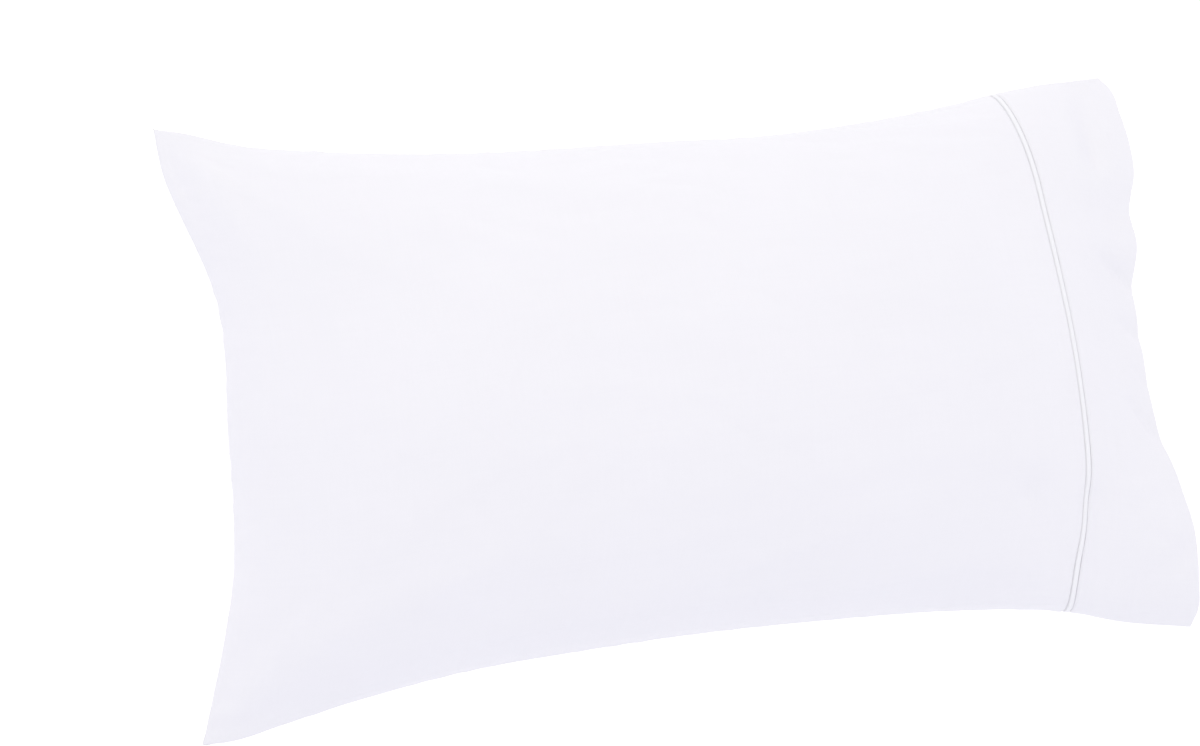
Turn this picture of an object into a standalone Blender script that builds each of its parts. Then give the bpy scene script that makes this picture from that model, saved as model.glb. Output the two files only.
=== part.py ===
"""A filled pillowcase lying on its back.

X runs along the case from its closed end to its open hem, Y runs across it and Z is up. The tables give plan places
from the lower ear of the closed end; the last step moves everything so that the middle of the underside is the
origin. Each piece is a loft of rings that run once round the case, because no two of its sections are alike.
"""
from collections import namedtuple

import bmesh
import bpy
import numpy as np

# Driving dimensions, in metres
EAR_HEIGHT = 0.040        # the four ears above the surface that the case lies on
SEAM_RISE = 0.022         # how much higher the seams lie halfway along each side
END_ROUNDING = 0.20       # length over which the closed end fills out to its full height
END_LIFT_REACH = 0.35     # how far along the case the closed end's own seam rise is felt
EDGE_POWER = 0.55         # 0.5 is an elliptical side, more is a side pinched in at its seam
EAR_POWER = 0.25          # added to that at the ears of the closed end, which are nearly empty
FLOOR_ROUNDING = 0.008    # height over which the underside turns from its flat patch into its sides
STRIP_WIDTH = 0.0055      # flat strip sewn between the body and the cuff
STRIP_CROWN = 0.0010      # how far the strip stands out from the cloth beside it
WALL = 0.0024             # thickness of the cuff: two layers of cloth, and the strip below its crown
FOLD_MARGIN = 0.008       # solid cloth at the cuff's two side seams, where its open edge lies flat
GAP = 0.0003              # clearance between pieces that are sewn together
INNER_END_SHARE = 0.45    # how much of the cuff's length the rounded inner end of the body fills
INNER_END_TAPER = 0.030   # how much the inner end draws in at each side

# Mesh resolution
STEPS_ACROSS = 32         # faces across each layer, from the lower side seam to the upper one
BODY_STEPS = 42
INNER_END_STEPS = 8
CUFF_STEPS = 10
WELD_DISTANCE = 1e-6

# Plan and fullness along the case: the side seams, and how far the filling would lift the cloth above its seams and
# press it down below them if nothing lay underneath
Section = namedtuple("Section", "along lower_side upper_side crown underside")
SECTIONS = (
    Section(0.000, -0.0020, 0.5000, 0.096, 0.085),
    Section(0.022, -0.0015, 0.4950, 0.098, 0.090),
    Section(0.068, 0.0075, 0.4795, 0.101, 0.096),
    Section(0.130, 0.0200, 0.4690, 0.104, 0.100),
    Section(0.210, 0.0315, 0.4605, 0.107, 0.102),
    Section(0.310, 0.0375, 0.4565, 0.110, 0.104),
    Section(0.410, 0.0405, 0.4575, 0.110, 0.104),
    Section(0.510, 0.0395, 0.4580, 0.106, 0.100),
    Section(0.610, 0.0365, 0.4665, 0.096, 0.084),
    Section(0.690, 0.0300, 0.4785, 0.078, 0.062),
    Section(0.735, 0.0230, 0.4875, 0.069, 0.049),
    Section(0.780, 0.0105, 0.4955, 0.064, 0.044),
    Section(0.850, -0.0020, 0.5035, 0.060, 0.040),
)

# Places across the case, 0 at the lower side seam and 1 at the upper one: the closed end, the cuff's seam and the
# two layers of the open edge along X, and how far those layers lie above and below the ears
Crossing = namedtuple("Crossing", "across closed_end cuff_seam front_edge back_edge front_lift back_drop")
CROSSINGS = (
    Crossing(0.000, 0.0000, 0.7268, 0.8480, 0.8480, 0.000, 0.000),
    Crossing(0.025, 0.0038, 0.7262, 0.8527, 0.8515, 0.009, 0.005),
    Crossing(0.080, 0.0120, 0.7288, 0.8530, 0.8525, 0.021, 0.013),
    Crossing(0.160, 0.0230, 0.7358, 0.8525, 0.8525, 0.029, 0.018),
    Crossing(0.250, 0.0335, 0.7408, 0.8460, 0.8500, 0.028, 0.020),
    Crossing(0.360, 0.0380, 0.7418, 0.8350, 0.8465, 0.026, 0.021),
    Crossing(0.500, 0.0390, 0.7408, 0.8335, 0.8455, 0.026, 0.022),
    Crossing(0.610, 0.0415, 0.7388, 0.8362, 0.8465, 0.026, 0.021),
    Crossing(0.670, 0.0412, 0.7378, 0.8427, 0.8480, 0.030, 0.021),
    Crossing(0.735, 0.0362, 0.7373, 0.8425, 0.8485, 0.027, 0.020),
    Crossing(0.800, 0.0255, 0.7378, 0.8520, 0.8510, 0.029, 0.019),
    Crossing(0.860, 0.0138, 0.7373, 0.8540, 0.8515, 0.026, 0.016),
    Crossing(0.920, 0.0044, 0.7353, 0.8540, 0.8520, 0.018, 0.011),
    Crossing(0.970, 0.0012, 0.7328, 0.8542, 0.8520, 0.008, 0.005),
    Crossing(1.000, 0.0000, 0.7313, 0.8475, 0.8475, 0.000, 0.000),
)

# Soft folds: troughs drawn on the plan, each with the share of the local thickness that it takes away at either end
Fold = namedtuple("Fold", "name start_x start_y end_x end_y width start_depth end_depth")
FOLDS = (
    Fold("upper ear dimple", 0.006, 0.468, 0.036, 0.382, 0.012, 0.18, 0.12),
    Fold("upper ear run-out", 0.036, 0.382, 0.080, 0.295, 0.026, 0.08, 0.00),
    Fold("lower ear crease", 0.010, 0.030, 0.050, 0.090, 0.014, 0.14, 0.00),
    Fold("lower ear side crease", 0.035, 0.006, 0.150, 0.038, 0.011, 0.16, 0.00),
    Fold("hollow before the strip", 0.690, 0.120, 0.722, 0.060, 0.018, 0.10, 0.10),
    Fold("hollow after the strip", 0.748, 0.110, 0.752, 0.050, 0.016, 0.12, 0.12),
    Fold("upper hem trough", 0.822, 0.482, 0.812, 0.420, 0.014, 0.22, 0.22),
    Fold("upper hem notch", 0.836, 0.299, 0.800, 0.322, 0.012, 0.14, 0.05),
    Fold("middle hem notch", 0.834, 0.256, 0.812, 0.266, 0.011, 0.12, 0.05),
    Fold("lower hem notch", 0.836, 0.160, 0.810, 0.192, 0.012, 0.14, 0.05),
    Fold("lower hem trough", 0.838, 0.060, 0.800, 0.040, 0.014, 0.12, 0.04),
)

# Colours, linear: white cloth with a faint cool tint, the strip the same cloth doubled
BODY_COLOUR = (0.89, 0.89, 0.93, 1.0)
CUFF_COLOUR = (0.87, 0.87, 0.92, 1.0)
STRIP_COLOUR = (0.92, 0.92, 0.95, 1.0)
CLOTH_ROUGHNESS = 0.85

# Shares across one layer, close together at the side seams where the cloth turns fastest
ACROSS = (1 - np.cos(np.linspace(0, np.pi, STEPS_ACROSS + 1))) / 2


def table_curve(rows, place, value, at):
    """Read a column of a table at any place, as a smooth curve through its rows."""
    knots = np.array([getattr(row, place) for row in rows])
    values = np.array([getattr(row, value) for row in rows])
    slopes = np.gradient(values, knots)
    at = np.clip(at, knots[0], knots[-1])
    left = np.clip(np.searchsorted(knots, at, side="right") - 1, 0, len(knots) - 2)
    span = knots[left + 1] - knots[left]
    t = (at - knots[left]) / span
    return ((1 + 2 * t) * (1 - t) ** 2 * values[left] + t ** 2 * (3 - 2 * t) * values[left + 1]
            + span * t * (1 - t) * ((1 - t) * slopes[left] - t * slopes[left + 1]))


def smooth_step(t):
    """Run from 0 to 1 with no slope at either end."""
    t = np.clip(t, 0, 1)
    return t * t * (3 - 2 * t)


def across_y(x, side_inset):
    """Y of the shares across the case at x, kept clear of both side seams by the inset."""
    lower = table_curve(SECTIONS, "along", "lower_side", x) + side_inset
    upper = table_curve(SECTIONS, "along", "upper_side", x) - side_inset
    return lower + ACROSS * (upper - lower)


def seam_height(x, side):
    """Height of the plane between the two layers: lowest at the ears, higher halfway along each side."""
    share = x / SECTIONS[-1].along
    along = 4 * share * (1 - share)
    end = side * (1 - smooth_step(x / END_LIFT_REACH))
    return EAR_HEIGHT + SEAM_RISE * (1 - (1 - np.clip(along, 0, 1)) * (1 - end))


def lie_on_floor(z):
    """Flatten what would reach below the surface, with a rounded turn at the edge of the flat patch."""
    turn = (np.clip(z, -FLOOR_ROUNDING, FLOOR_ROUNDING) + FLOOR_ROUNDING) ** 2 / (4 * FLOOR_ROUNDING)
    return np.where(z > FLOOR_ROUNDING, z, turn)


def body_layers(x):
    """Heights of the front and back layers of the filled body at x, one value for each share across."""
    side = 4 * ACROSS * (1 - ACROSS)
    reach = (x - table_curve(CROSSINGS, "across", "closed_end", ACROSS)) / END_ROUNDING
    end = 1 - (1 - np.clip(reach, 0, 1)) ** 2
    power = EDGE_POWER + EAR_POWER * (1 - side) * (1 - end)
    fullness = (side * end) ** power
    middle = seam_height(x, side)
    front = middle + table_curve(SECTIONS, "along", "crown", x) * fullness
    back = lie_on_floor(middle - table_curve(SECTIONS, "along", "underside", x) * fullness)
    return front, back


def fold_relief(x, y):
    """Share of its thickness that the case keeps at a place, less than 1 in a fold's trough."""
    kept = np.ones_like(x)
    for fold in FOLDS:
        run = np.array([fold.end_x - fold.start_x, fold.end_y - fold.start_y])
        length = np.linalg.norm(run)
        direction = run / length
        along = (x - fold.start_x) * direction[0] + (y - fold.start_y) * direction[1]
        along = np.clip(along, 0, length)
        away = np.hypot(x - fold.start_x - along * direction[0], y - fold.start_y - along * direction[1])
        depth = fold.start_depth + (fold.end_depth - fold.start_depth) * along / length
        kept -= depth * np.exp(-(away / fold.width) ** 2)
    return kept


def ring(front_x, front_z, back_x, back_z, side_inset=0.0, face_inset=0.0):
    """Points once round the case: up the front layer from the lower seam, and down the back layer again."""
    middle = (front_z + back_z) / 2
    thinned = 1.0
    if face_inset:
        thinned = 1 - face_inset / ((front_z - back_z).max() / 2)
    layers = []
    for x, z in ((front_x, front_z), (back_x, back_z)):
        y = across_y(x, side_inset)
        z = middle + (z - middle) * thinned * fold_relief(x, y)
        layers.append(list(zip(x, y, z)))
    front, back = layers
    return front + back[-2:0:-1]


def hem_ring(front_share, back_share, side_inset=0.0, face_inset=0.0):
    """A ring of the band past the cuff seam: share 0 lies on the seam and share 1 on the open edge."""
    seam = table_curve(CROSSINGS, "across", "cuff_seam", ACROSS)
    front_edge = table_curve(CROSSINGS, "across", "front_edge", ACROSS)
    back_edge = table_curve(CROSSINGS, "across", "back_edge", ACROSS)
    front_end = EAR_HEIGHT + table_curve(CROSSINGS, "across", "front_lift", ACROSS)
    back_end = EAR_HEIGHT - table_curve(CROSSINGS, "across", "back_drop", ACROSS)
    front_start, back_start = body_layers(seam)
    front_fall = (front_share + smooth_step(front_share)) / 2
    back_fall = (back_share + smooth_step(back_share)) / 2
    return ring(seam + front_share * (front_edge - seam), front_start + front_fall * (front_end - front_start),
                seam + back_share * (back_edge - seam), back_start + back_fall * (back_end - back_start),
                side_inset, face_inset)


def shares_at(distance):
    """Shares of the front and back layers of the hem at a distance along X from the cuff seam."""
    seam = table_curve(CROSSINGS, "across", "cuff_seam", ACROSS)
    front_edge = table_curve(CROSSINGS, "across", "front_edge", ACROSS)
    back_edge = table_curve(CROSSINGS, "across", "back_edge", ACROSS)
    return distance / (front_edge - seam), distance / (back_edge - seam)


def cloth(name, colour):
    """Matt white cloth."""
    material = bpy.data.materials.new(name)
    material.use_nodes = True
    shader = material.node_tree.nodes["Principled BSDF"]
    shader.inputs["Base Color"].default_value = colour
    shader.inputs["Roughness"].default_value = CLOTH_ROUGHNESS
    shader.inputs["Metallic"].default_value = 0.0
    material.diffuse_color = colour
    return material


def loft(name, rings, collection, material, closed=False):
    """Skin a list of rings. A ring whose two layers meet closes the skin; a closed loft joins its last to its first."""
    bm = bmesh.new()
    rows = [[bm.verts.new(point) for point in points] for points in rings]
    pairs = list(zip(rows, rows[1:]))
    if closed:
        pairs.append((rows[-1], rows[0]))
    for row, following in pairs:
        for k, vertex in enumerate(row):
            after = (k + 1) % len(row)
            bm.faces.new((vertex, row[after], following[after], following[k]))
    bmesh.ops.remove_doubles(bm, verts=bm.verts, dist=WELD_DISTANCE)
    bmesh.ops.recalc_face_normals(bm, faces=bm.faces)
    mesh = bpy.data.meshes.new(name)
    bm.to_mesh(mesh)
    bm.free()
    mesh.shade_smooth()
    mesh.set_sharp_from_angle(angle=np.radians(40))
    mesh.materials.append(material)
    piece = bpy.data.objects.new(name, mesh)
    collection.objects.link(piece)
    return piece


def case_body(collection):
    """The filled body: shut along a seam at its closed end, stepped in at the cuff and rounded off inside it."""
    closed_end = table_curve(CROSSINGS, "across", "closed_end", ACROSS)
    seam = table_curve(CROSSINGS, "across", "cuff_seam", ACROSS)
    rings = []
    for step in range(BODY_STEPS + 1):
        x = closed_end + (step / BODY_STEPS) ** 1.5 * (seam - closed_end)
        front, back = body_layers(x)
        rings.append(ring(x, front, x, back))
    under_cuff = WALL + GAP
    for step in range(INNER_END_STEPS + 1):
        turn = step / INNER_END_STEPS * np.pi / 2
        rings.append(inner_end_ring(np.sin(turn), np.cos(turn), under_cuff))
    return loft("case_body", rings, collection, cloth("case_body", BODY_COLOUR))


def inner_end_ring(reach, fullness, inset):
    """A ring of the rounded end inside the cuff, from its root (reach 0) to its closing line (reach 1)."""
    share = np.full_like(ACROSS, reach * INNER_END_SHARE)
    points = np.array(hem_ring(share, share, inset + INNER_END_TAPER * reach ** 2, inset))
    front = points[:STEPS_ACROSS + 1]
    back = np.vstack((points[:1], points[:STEPS_ACROSS - 1:-1]))
    middle = (front + back) / 2
    front = middle + (front - middle) * [0, 0, fullness]
    back = middle + (back - middle) * [0, 0, fullness]
    return [tuple(p) for p in front] + [tuple(p) for p in back[-2:0:-1]]


def hem_strip(collection):
    """The flat strip in the cuff seam: a closed band with a softly crowned outer face."""
    profile = (
        (0.00, 0.5 * WALL), (0.00, -0.3 * STRIP_CROWN), (0.20, -0.8 * STRIP_CROWN), (0.50, -STRIP_CROWN),
        (0.80, -0.8 * STRIP_CROWN), (1.00, -0.3 * STRIP_CROWN), (1.00, 0.5 * WALL), (1.00, WALL), (0.00, WALL),
    )
    rings = []
    for place, inset in profile:
        front_share, back_share = shares_at(GAP + place * STRIP_WIDTH)
        rings.append(hem_ring(front_share, back_share, inset, inset))
    return loft("hem_strip", rings, collection, cloth("hem_strip", STRIP_COLOUR), closed=True)


def hem_cuff(collection):
    """The open sleeve past the strip: out along its outer face, and back along its inner one."""
    front_start, back_start = shares_at(STRIP_WIDTH + 2 * GAP)
    outer = []
    inner = []
    for step in range(CUFF_STEPS + 1):
        reach = step / CUFF_STEPS
        front_share = front_start + reach * (1 - front_start)
        back_share = back_start + reach * (1 - back_start)
        margin = WALL + reach * (FOLD_MARGIN - WALL)
        outer.append(hem_ring(front_share, back_share))
        inner.append(hem_ring(front_share, back_share, margin, WALL))
    return loft("hem_cuff", outer + inner[::-1], collection, cloth("hem_cuff", CUFF_COLOUR), closed=True)


def centre_on_base(pieces):
    """Put the origin in the middle of the underside of everything."""
    points = np.array([vertex.co for piece in pieces for vertex in piece.data.vertices])
    low = points.min(axis=0)
    high = points.max(axis=0)
    for piece in pieces:
        piece.location = (-(low[0] + high[0]) / 2, -(low[1] + high[1]) / 2, -low[2])


def main():
    for leftover in list(bpy.data.objects):
        bpy.data.objects.remove(leftover, do_unlink=True)
    collection = bpy.data.collections.new("pillowcase")
    bpy.context.scene.collection.children.link(collection)
    centre_on_base([case_body(collection), hem_strip(collection), hem_cuff(collection)])


main()
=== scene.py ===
from collections import namedtuple
from functools import partial

import bmesh
import bpy
import numpy as np
from mathutils import Matrix, Vector


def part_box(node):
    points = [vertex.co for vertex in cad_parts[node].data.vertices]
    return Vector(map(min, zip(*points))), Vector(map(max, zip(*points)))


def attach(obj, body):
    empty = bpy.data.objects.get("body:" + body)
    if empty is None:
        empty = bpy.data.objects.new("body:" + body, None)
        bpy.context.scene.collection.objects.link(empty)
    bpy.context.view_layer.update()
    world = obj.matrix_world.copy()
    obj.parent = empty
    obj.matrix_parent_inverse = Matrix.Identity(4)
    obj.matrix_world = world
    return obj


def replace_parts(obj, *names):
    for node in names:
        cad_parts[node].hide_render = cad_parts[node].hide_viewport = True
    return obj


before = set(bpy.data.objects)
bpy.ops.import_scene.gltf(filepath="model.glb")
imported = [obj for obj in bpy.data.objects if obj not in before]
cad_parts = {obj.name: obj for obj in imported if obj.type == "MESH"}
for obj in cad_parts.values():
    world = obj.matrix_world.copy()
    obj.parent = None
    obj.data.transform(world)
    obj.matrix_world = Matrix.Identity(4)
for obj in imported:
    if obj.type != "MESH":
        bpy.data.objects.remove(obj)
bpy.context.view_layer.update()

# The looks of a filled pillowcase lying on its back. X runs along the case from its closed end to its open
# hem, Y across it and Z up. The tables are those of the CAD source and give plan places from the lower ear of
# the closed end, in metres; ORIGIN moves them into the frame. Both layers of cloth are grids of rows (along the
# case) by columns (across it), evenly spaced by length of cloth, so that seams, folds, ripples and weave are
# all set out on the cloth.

# ---------------------------------------------------------------- camera
# The photograph's viewpoint, worked out from its four ears: nearly above the lower ear of the closed end
CAMERA_PLACE = Vector((0.0101, 0.0015, 1.581))
CAMERA_RIGHT = Vector((0.974, -0.116, 0.195))
CAMERA_UP = Vector((0.0798, 0.9793, 0.1859))
LENS_MM = 57.0
SENSOR_MM = 36.0

# ---------------------------------------------------------------- sizes, as in the CAD source
EAR_HEIGHT = 0.040
SEAM_RISE = 0.022
END_ROUNDING = 0.20
END_LIFT_REACH = 0.35
EDGE_POWER = 0.55
EAR_POWER = 0.25
FLOOR_ROUNDING = 0.008
GAP = 0.0003
INNER_END_SHARE = 0.45
INNER_END_TAPER = 0.030
CAD_WALL = 0.0024

Section = namedtuple("Section", "along lower_side upper_side crown underside")
SECTIONS = (
    Section(0.000, -0.0020, 0.5000, 0.096, 0.085),
    Section(0.022, -0.0015, 0.4950, 0.098, 0.090),
    Section(0.068, 0.0075, 0.4795, 0.101, 0.096),
    Section(0.130, 0.0200, 0.4690, 0.104, 0.100),
    Section(0.210, 0.0315, 0.4605, 0.107, 0.102),
    Section(0.310, 0.0375, 0.4565, 0.110, 0.104),
    Section(0.410, 0.0405, 0.4575, 0.110, 0.104),
    Section(0.510, 0.0395, 0.4580, 0.106, 0.100),
    Section(0.610, 0.0365, 0.4665, 0.096, 0.084),
    Section(0.690, 0.0300, 0.4785, 0.078, 0.062),
    Section(0.735, 0.0230, 0.4875, 0.069, 0.049),
    Section(0.780, 0.0105, 0.4955, 0.064, 0.044),
    Section(0.850, -0.0020, 0.5035, 0.060, 0.040),
)
Crossing = namedtuple("Crossing", "across closed_end cuff_seam front_edge back_edge front_lift back_drop")
CROSSINGS = (
    Crossing(0.000, 0.0000, 0.7268, 0.8480, 0.8480, 0.000, 0.000),
    Crossing(0.025, 0.0038, 0.7262, 0.8527, 0.8515, 0.009, 0.005),
    Crossing(0.080, 0.0120, 0.7288, 0.8530, 0.8525, 0.021, 0.013),
    Crossing(0.160, 0.0230, 0.7358, 0.8525, 0.8525, 0.029, 0.018),
    Crossing(0.250, 0.0335, 0.7408, 0.8460, 0.8500, 0.028, 0.020),
    Crossing(0.360, 0.0380, 0.7418, 0.8350, 0.8465, 0.026, 0.021),
    Crossing(0.500, 0.0390, 0.7408, 0.8335, 0.8455, 0.026, 0.022),
    Crossing(0.610, 0.0415, 0.7388, 0.8362, 0.8465, 0.026, 0.021),
    Crossing(0.670, 0.0412, 0.7378, 0.8427, 0.8480, 0.030, 0.021),
    Crossing(0.735, 0.0362, 0.7373, 0.8425, 0.8485, 0.027, 0.020),
    Crossing(0.800, 0.0255, 0.7378, 0.8520, 0.8510, 0.029, 0.019),
    Crossing(0.860, 0.0138, 0.7373, 0.8540, 0.8515, 0.026, 0.016),
    Crossing(0.920, 0.0044, 0.7353, 0.8540, 0.8520, 0.018, 0.011),
    Crossing(0.970, 0.0012, 0.7328, 0.8542, 0.8520, 0.008, 0.005),
    Crossing(1.000, 0.0000, 0.7313, 0.8475, 0.8475, 0.000, 0.000),
)
Fold = namedtuple("Fold", "name start_x start_y end_x end_y width start_depth end_depth")
FOLDS = (
    Fold("upper ear dimple", 0.006, 0.468, 0.036, 0.382, 0.012, 0.18, 0.12),
    Fold("upper ear run-out", 0.036, 0.382, 0.080, 0.295, 0.026, 0.08, 0.00),
    Fold("lower ear crease", 0.010, 0.030, 0.050, 0.090, 0.014, 0.14, 0.00),
    Fold("lower ear side crease", 0.035, 0.006, 0.150, 0.038, 0.011, 0.16, 0.00),
    Fold("hollow before the strip", 0.690, 0.120, 0.722, 0.060, 0.018, 0.10, 0.10),
    Fold("hollow after the strip", 0.748, 0.110, 0.752, 0.050, 0.016, 0.12, 0.12),
    Fold("upper hem trough", 0.822, 0.482, 0.812, 0.420, 0.014, 0.22, 0.22),
    Fold("upper hem notch", 0.836, 0.299, 0.800, 0.322, 0.012, 0.14, 0.05),
    Fold("middle hem notch", 0.834, 0.256, 0.812, 0.266, 0.011, 0.12, 0.05),
    Fold("lower hem notch", 0.836, 0.160, 0.810, 0.192, 0.012, 0.14, 0.05),
    Fold("lower hem trough", 0.838, 0.060, 0.800, 0.040, 0.014, 0.12, 0.04),
)

# The tables' own corner of the body lies on the frame's
TABLE_CORNER = (min(row.closed_end for row in CROSSINGS), min(row.lower_side for row in SECTIONS))
ORIGIN = np.array([*(np.array(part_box("case_body")[0])[:2] - TABLE_CORNER), 0.0])

# ---------------------------------------------------------------- sizes of the finer looks
FRONT, BACK = 1.0, -1.0   # the two layers of cloth, and the way each faces
SIDE_STEPS = 160          # faces across each layer
SIDE_SPACING = 0.22       # their width at the side seams, as a share of that in the middle
BODY_ROWS = 165
HEM_ROWS = 34
INNER_ROWS = 16
MEASURED_ACROSS = 700     # points across a layer on which its length of cloth is measured
MEASURED_HEM = 40         # steps along the hem on which it is measured, for the strip and the stitches
MEASURED_CUFF = 120       # and for the cuff
BACK_UV_SHIFT = 0.7       # the back layer lies beside the front one on the UV map
COVERED_UV_START = 0.01   # and the covered end of the pillow past the body
PRESSED_HEIGHT = 0.002    # creases of the back layer fade out towards the floor, at this height
PRESSED_FADE = 0.012      # and over this much of it

SIM_ACROSS = 92           # the coarser cloth that is simulated
SIM_ROWS = 126
SIM_FRAMES = 20
SIM_PRESSURE = 4.0
SIM_GROWTH = 0.006        # share of spare cloth, which gathers where the seams hold it
SIM_ON_FLOOR = 0.0015     # points lower than this are held
SIM_SMOOTHING = 26        # passes that find the swelling, which the tables already hold
SIM_CAP = 0.006           # the most that the simulation moves a point
SIM_FACE_SHARE = 0.10     # how much of its fine movement the cloth keeps on the taut faces,
SIM_SEAM_SHARE = {FRONT: 0.30, BACK: 0.80}   # and beside the seams, where it is slack
SIM_SEAM_REACH = 0.050

BODY_LENGTH = 0.70        # about, to place the last rows at real lengths of cloth before the strip
LAST_BODY_ROWS = (0.0085, 0.0060, 0.0042, 0.0029, 0.0020, 0.0013, 0.0008, 0.0004, 0.0)
ROOM_BEFORE_LAST_ROWS = 0.004   # as a share of the body

# Lengths of cloth past the body's edge, with the strip between it and the cuff's
SEAM_LINE = 0.0058
STRIP_FROM, STRIP_TO = 0.0007, 0.0052
STITCH_LINE = 0.0072
FIRST_CUFF_ROWS = (SEAM_LINE, 0.0061, 0.0065, 0.0070, 0.0077, 0.0086, 0.0098, 0.0115)

STRIP_RISE = 0.0008       # the middle of the strip over its edges,
STRIP_SINK = 0.0002       # which lie this far under the line of the cloth
STRIP_UNDERSIDE = 0.0023
STRIP_MARGIN = 0.00015    # room between the strip's sewn-in sides and the edges of the body and the cuff
STRIP_DROP = 0.0001       # its edges drop to those sides over this length
STRIP_FLANGES = ((-0.0008, -0.0007), (-0.0005, -0.0006))   # heights of those sides, before and after it
STRIP_RINGS = (0, 0.04, 0.10, 0.20, 0.35, 0.5, 0.65, 0.80, 0.90, 0.96, 1.0)   # shares of its width

CUFF_WALL = 0.0016        # doubled cloth of the hem
EDGE_ROWS = 6             # round its open edge
ROOM_BEFORE_EDGE = 0.001
CLOSING_LENGTH = 0.006    # the inner faces run into the side seams over this length
MOUTH_ROOM = 0.0004       # the least room between the inner faces of the two layers

STITCH_LENGTH = 0.0027
STITCH_PITCH = 0.0031
STITCH_THICK = 0.00050
STITCH_SINK = 0.0003
STITCH_FROM_SIDE = 0.004  # the row ends this far from the side seams
STITCH_SIDES = 6
STITCH_MEASURED = 600     # points on the line of stitches, across a layer
STITCH_BESIDE = 0.002     # rows this far to each side of the line give the cloth's slope
# How far along a stitch each of its rings lies, and its rise and radius as shares of half the thickness
StitchRing = namedtuple("StitchRing", "along rise radius")
STITCH_RINGS = (
    StitchRing(0.00, -0.90, 0.35),
    StitchRing(0.12, -0.10, 0.80),
    StitchRing(0.35, 0.35, 1.00),
    StitchRing(0.65, 0.35, 1.00),
    StitchRing(0.88, -0.10, 0.80),
    StitchRing(1.00, -0.90, 0.35),
)

# Creases drawn on the cloth: the layer that each is on, a curve from start past bend to end in plan, its half
# width and its height, above the cloth for a ridge and below it for a trough
CREASE_POINTS = 15        # on the curve
Crease = namedtuple("Crease", "name layer start_x start_y bend_x bend_y end_x end_y width height")
CREASES = (
    Crease("lower ear ridge", FRONT, 0.008, 0.012, 0.105, 0.092, 0.320, 0.126, 0.0190, 0.0038),
    Crease("lower ear tuck", FRONT, 0.008, 0.020, 0.022, 0.038, 0.030, 0.064, 0.0050, -0.0006),
    Crease("lower ear second tuck", FRONT, 0.016, 0.007, 0.040, 0.018, 0.070, 0.030, 0.0055, -0.0006),
    Crease("lower ear flank", FRONT, 0.060, 0.016, 0.130, 0.034, 0.230, 0.052, 0.0100, -0.0012),
    Crease("upper ear ridge", FRONT, 0.010, 0.486, 0.058, 0.432, 0.086, 0.325, 0.0120, 0.0024),
    Crease("upper ear tuck", FRONT, 0.008, 0.478, 0.018, 0.452, 0.028, 0.420, 0.0045, -0.0008),
    Crease("upper side pull", FRONT, 0.240, 0.448, 0.262, 0.430, 0.290, 0.420, 0.0060, -0.0006),
    Crease("lower side pull", FRONT, 0.420, 0.048, 0.438, 0.066, 0.470, 0.078, 0.0070, -0.0007),
    Crease("strip pull", FRONT, 0.712, 0.400, 0.690, 0.394, 0.660, 0.392, 0.0060, -0.0005),
    Crease("upper hem fold", FRONT, 0.806, 0.470, 0.814, 0.440, 0.812, 0.400, 0.0070, -0.0012),
    Crease("upper hem roll", FRONT, 0.826, 0.474, 0.832, 0.440, 0.828, 0.404, 0.0060, 0.0012),
    Crease("upper hem nick", FRONT, 0.834, 0.297, 0.818, 0.316, 0.796, 0.322, 0.0060, -0.0013),
    Crease("middle hem nick", FRONT, 0.832, 0.254, 0.822, 0.262, 0.808, 0.268, 0.0060, -0.0013),
    Crease("small hem nick", FRONT, 0.834, 0.208, 0.828, 0.218, 0.817, 0.229, 0.0050, -0.0012),
    Crease("lower hem nick", FRONT, 0.836, 0.160, 0.824, 0.182, 0.806, 0.195, 0.0065, -0.0014),
    Crease("dip beside the strip", FRONT, 0.771, 0.176, 0.778, 0.150, 0.774, 0.122, 0.0060, -0.0007),
    Crease("lower hem roll", FRONT, 0.838, 0.128, 0.812, 0.122, 0.782, 0.118, 0.0080, 0.0011),
    Crease("hem corner fold", FRONT, 0.842, 0.062, 0.820, 0.076, 0.795, 0.086, 0.0070, -0.0006),
    Crease("back lower ear tuck", BACK, 0.010, 0.012, 0.045, 0.040, 0.090, 0.080, 0.0070, -0.0018),
    Crease("back upper ear tuck", BACK, 0.010, 0.488, 0.045, 0.455, 0.085, 0.405, 0.0070, -0.0018),
    Crease("back upper side pull", BACK, 0.330, 0.452, 0.345, 0.432, 0.350, 0.405, 0.0080, -0.0012),
    Crease("back lower side pull", BACK, 0.520, 0.042, 0.505, 0.064, 0.500, 0.095, 0.0080, -0.0012),
    Crease("back hem fold", BACK, 0.840, 0.330, 0.806, 0.322, 0.770, 0.330, 0.0080, -0.0012),
    Crease("back lower hem fold", BACK, 0.840, 0.150, 0.806, 0.160, 0.765, 0.150, 0.0080, -0.0012),
)

# Ripples that a seam gathers into the cloth: their usual length, height at the seam, and reach into the cloth
Gather = namedtuple("Gather", "length height reach")
SIDE_GATHER = Gather(0.024, 0.0006, 0.022)
END_GATHER = Gather(0.019, 0.0007, 0.028)
STRIP_GATHER = Gather(0.017, 0.00018, 0.014)
OPEN_EDGE_GATHER = Gather(0.012, 0.00022, 0.006)
SEWN_FLAT = 0.004         # beside the stitches the seam holds the cloth flatter,
SEWN_FLAT_SHARE = 0.75    # by this share
STRIP_WAVE_LENGTH, STRIP_WAVE_HEIGHT = 0.006, 0.00010
INNER_RIPPLE_LENGTH, INNER_RIPPLE_HEIGHT = 0.026, 0.00064

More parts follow.
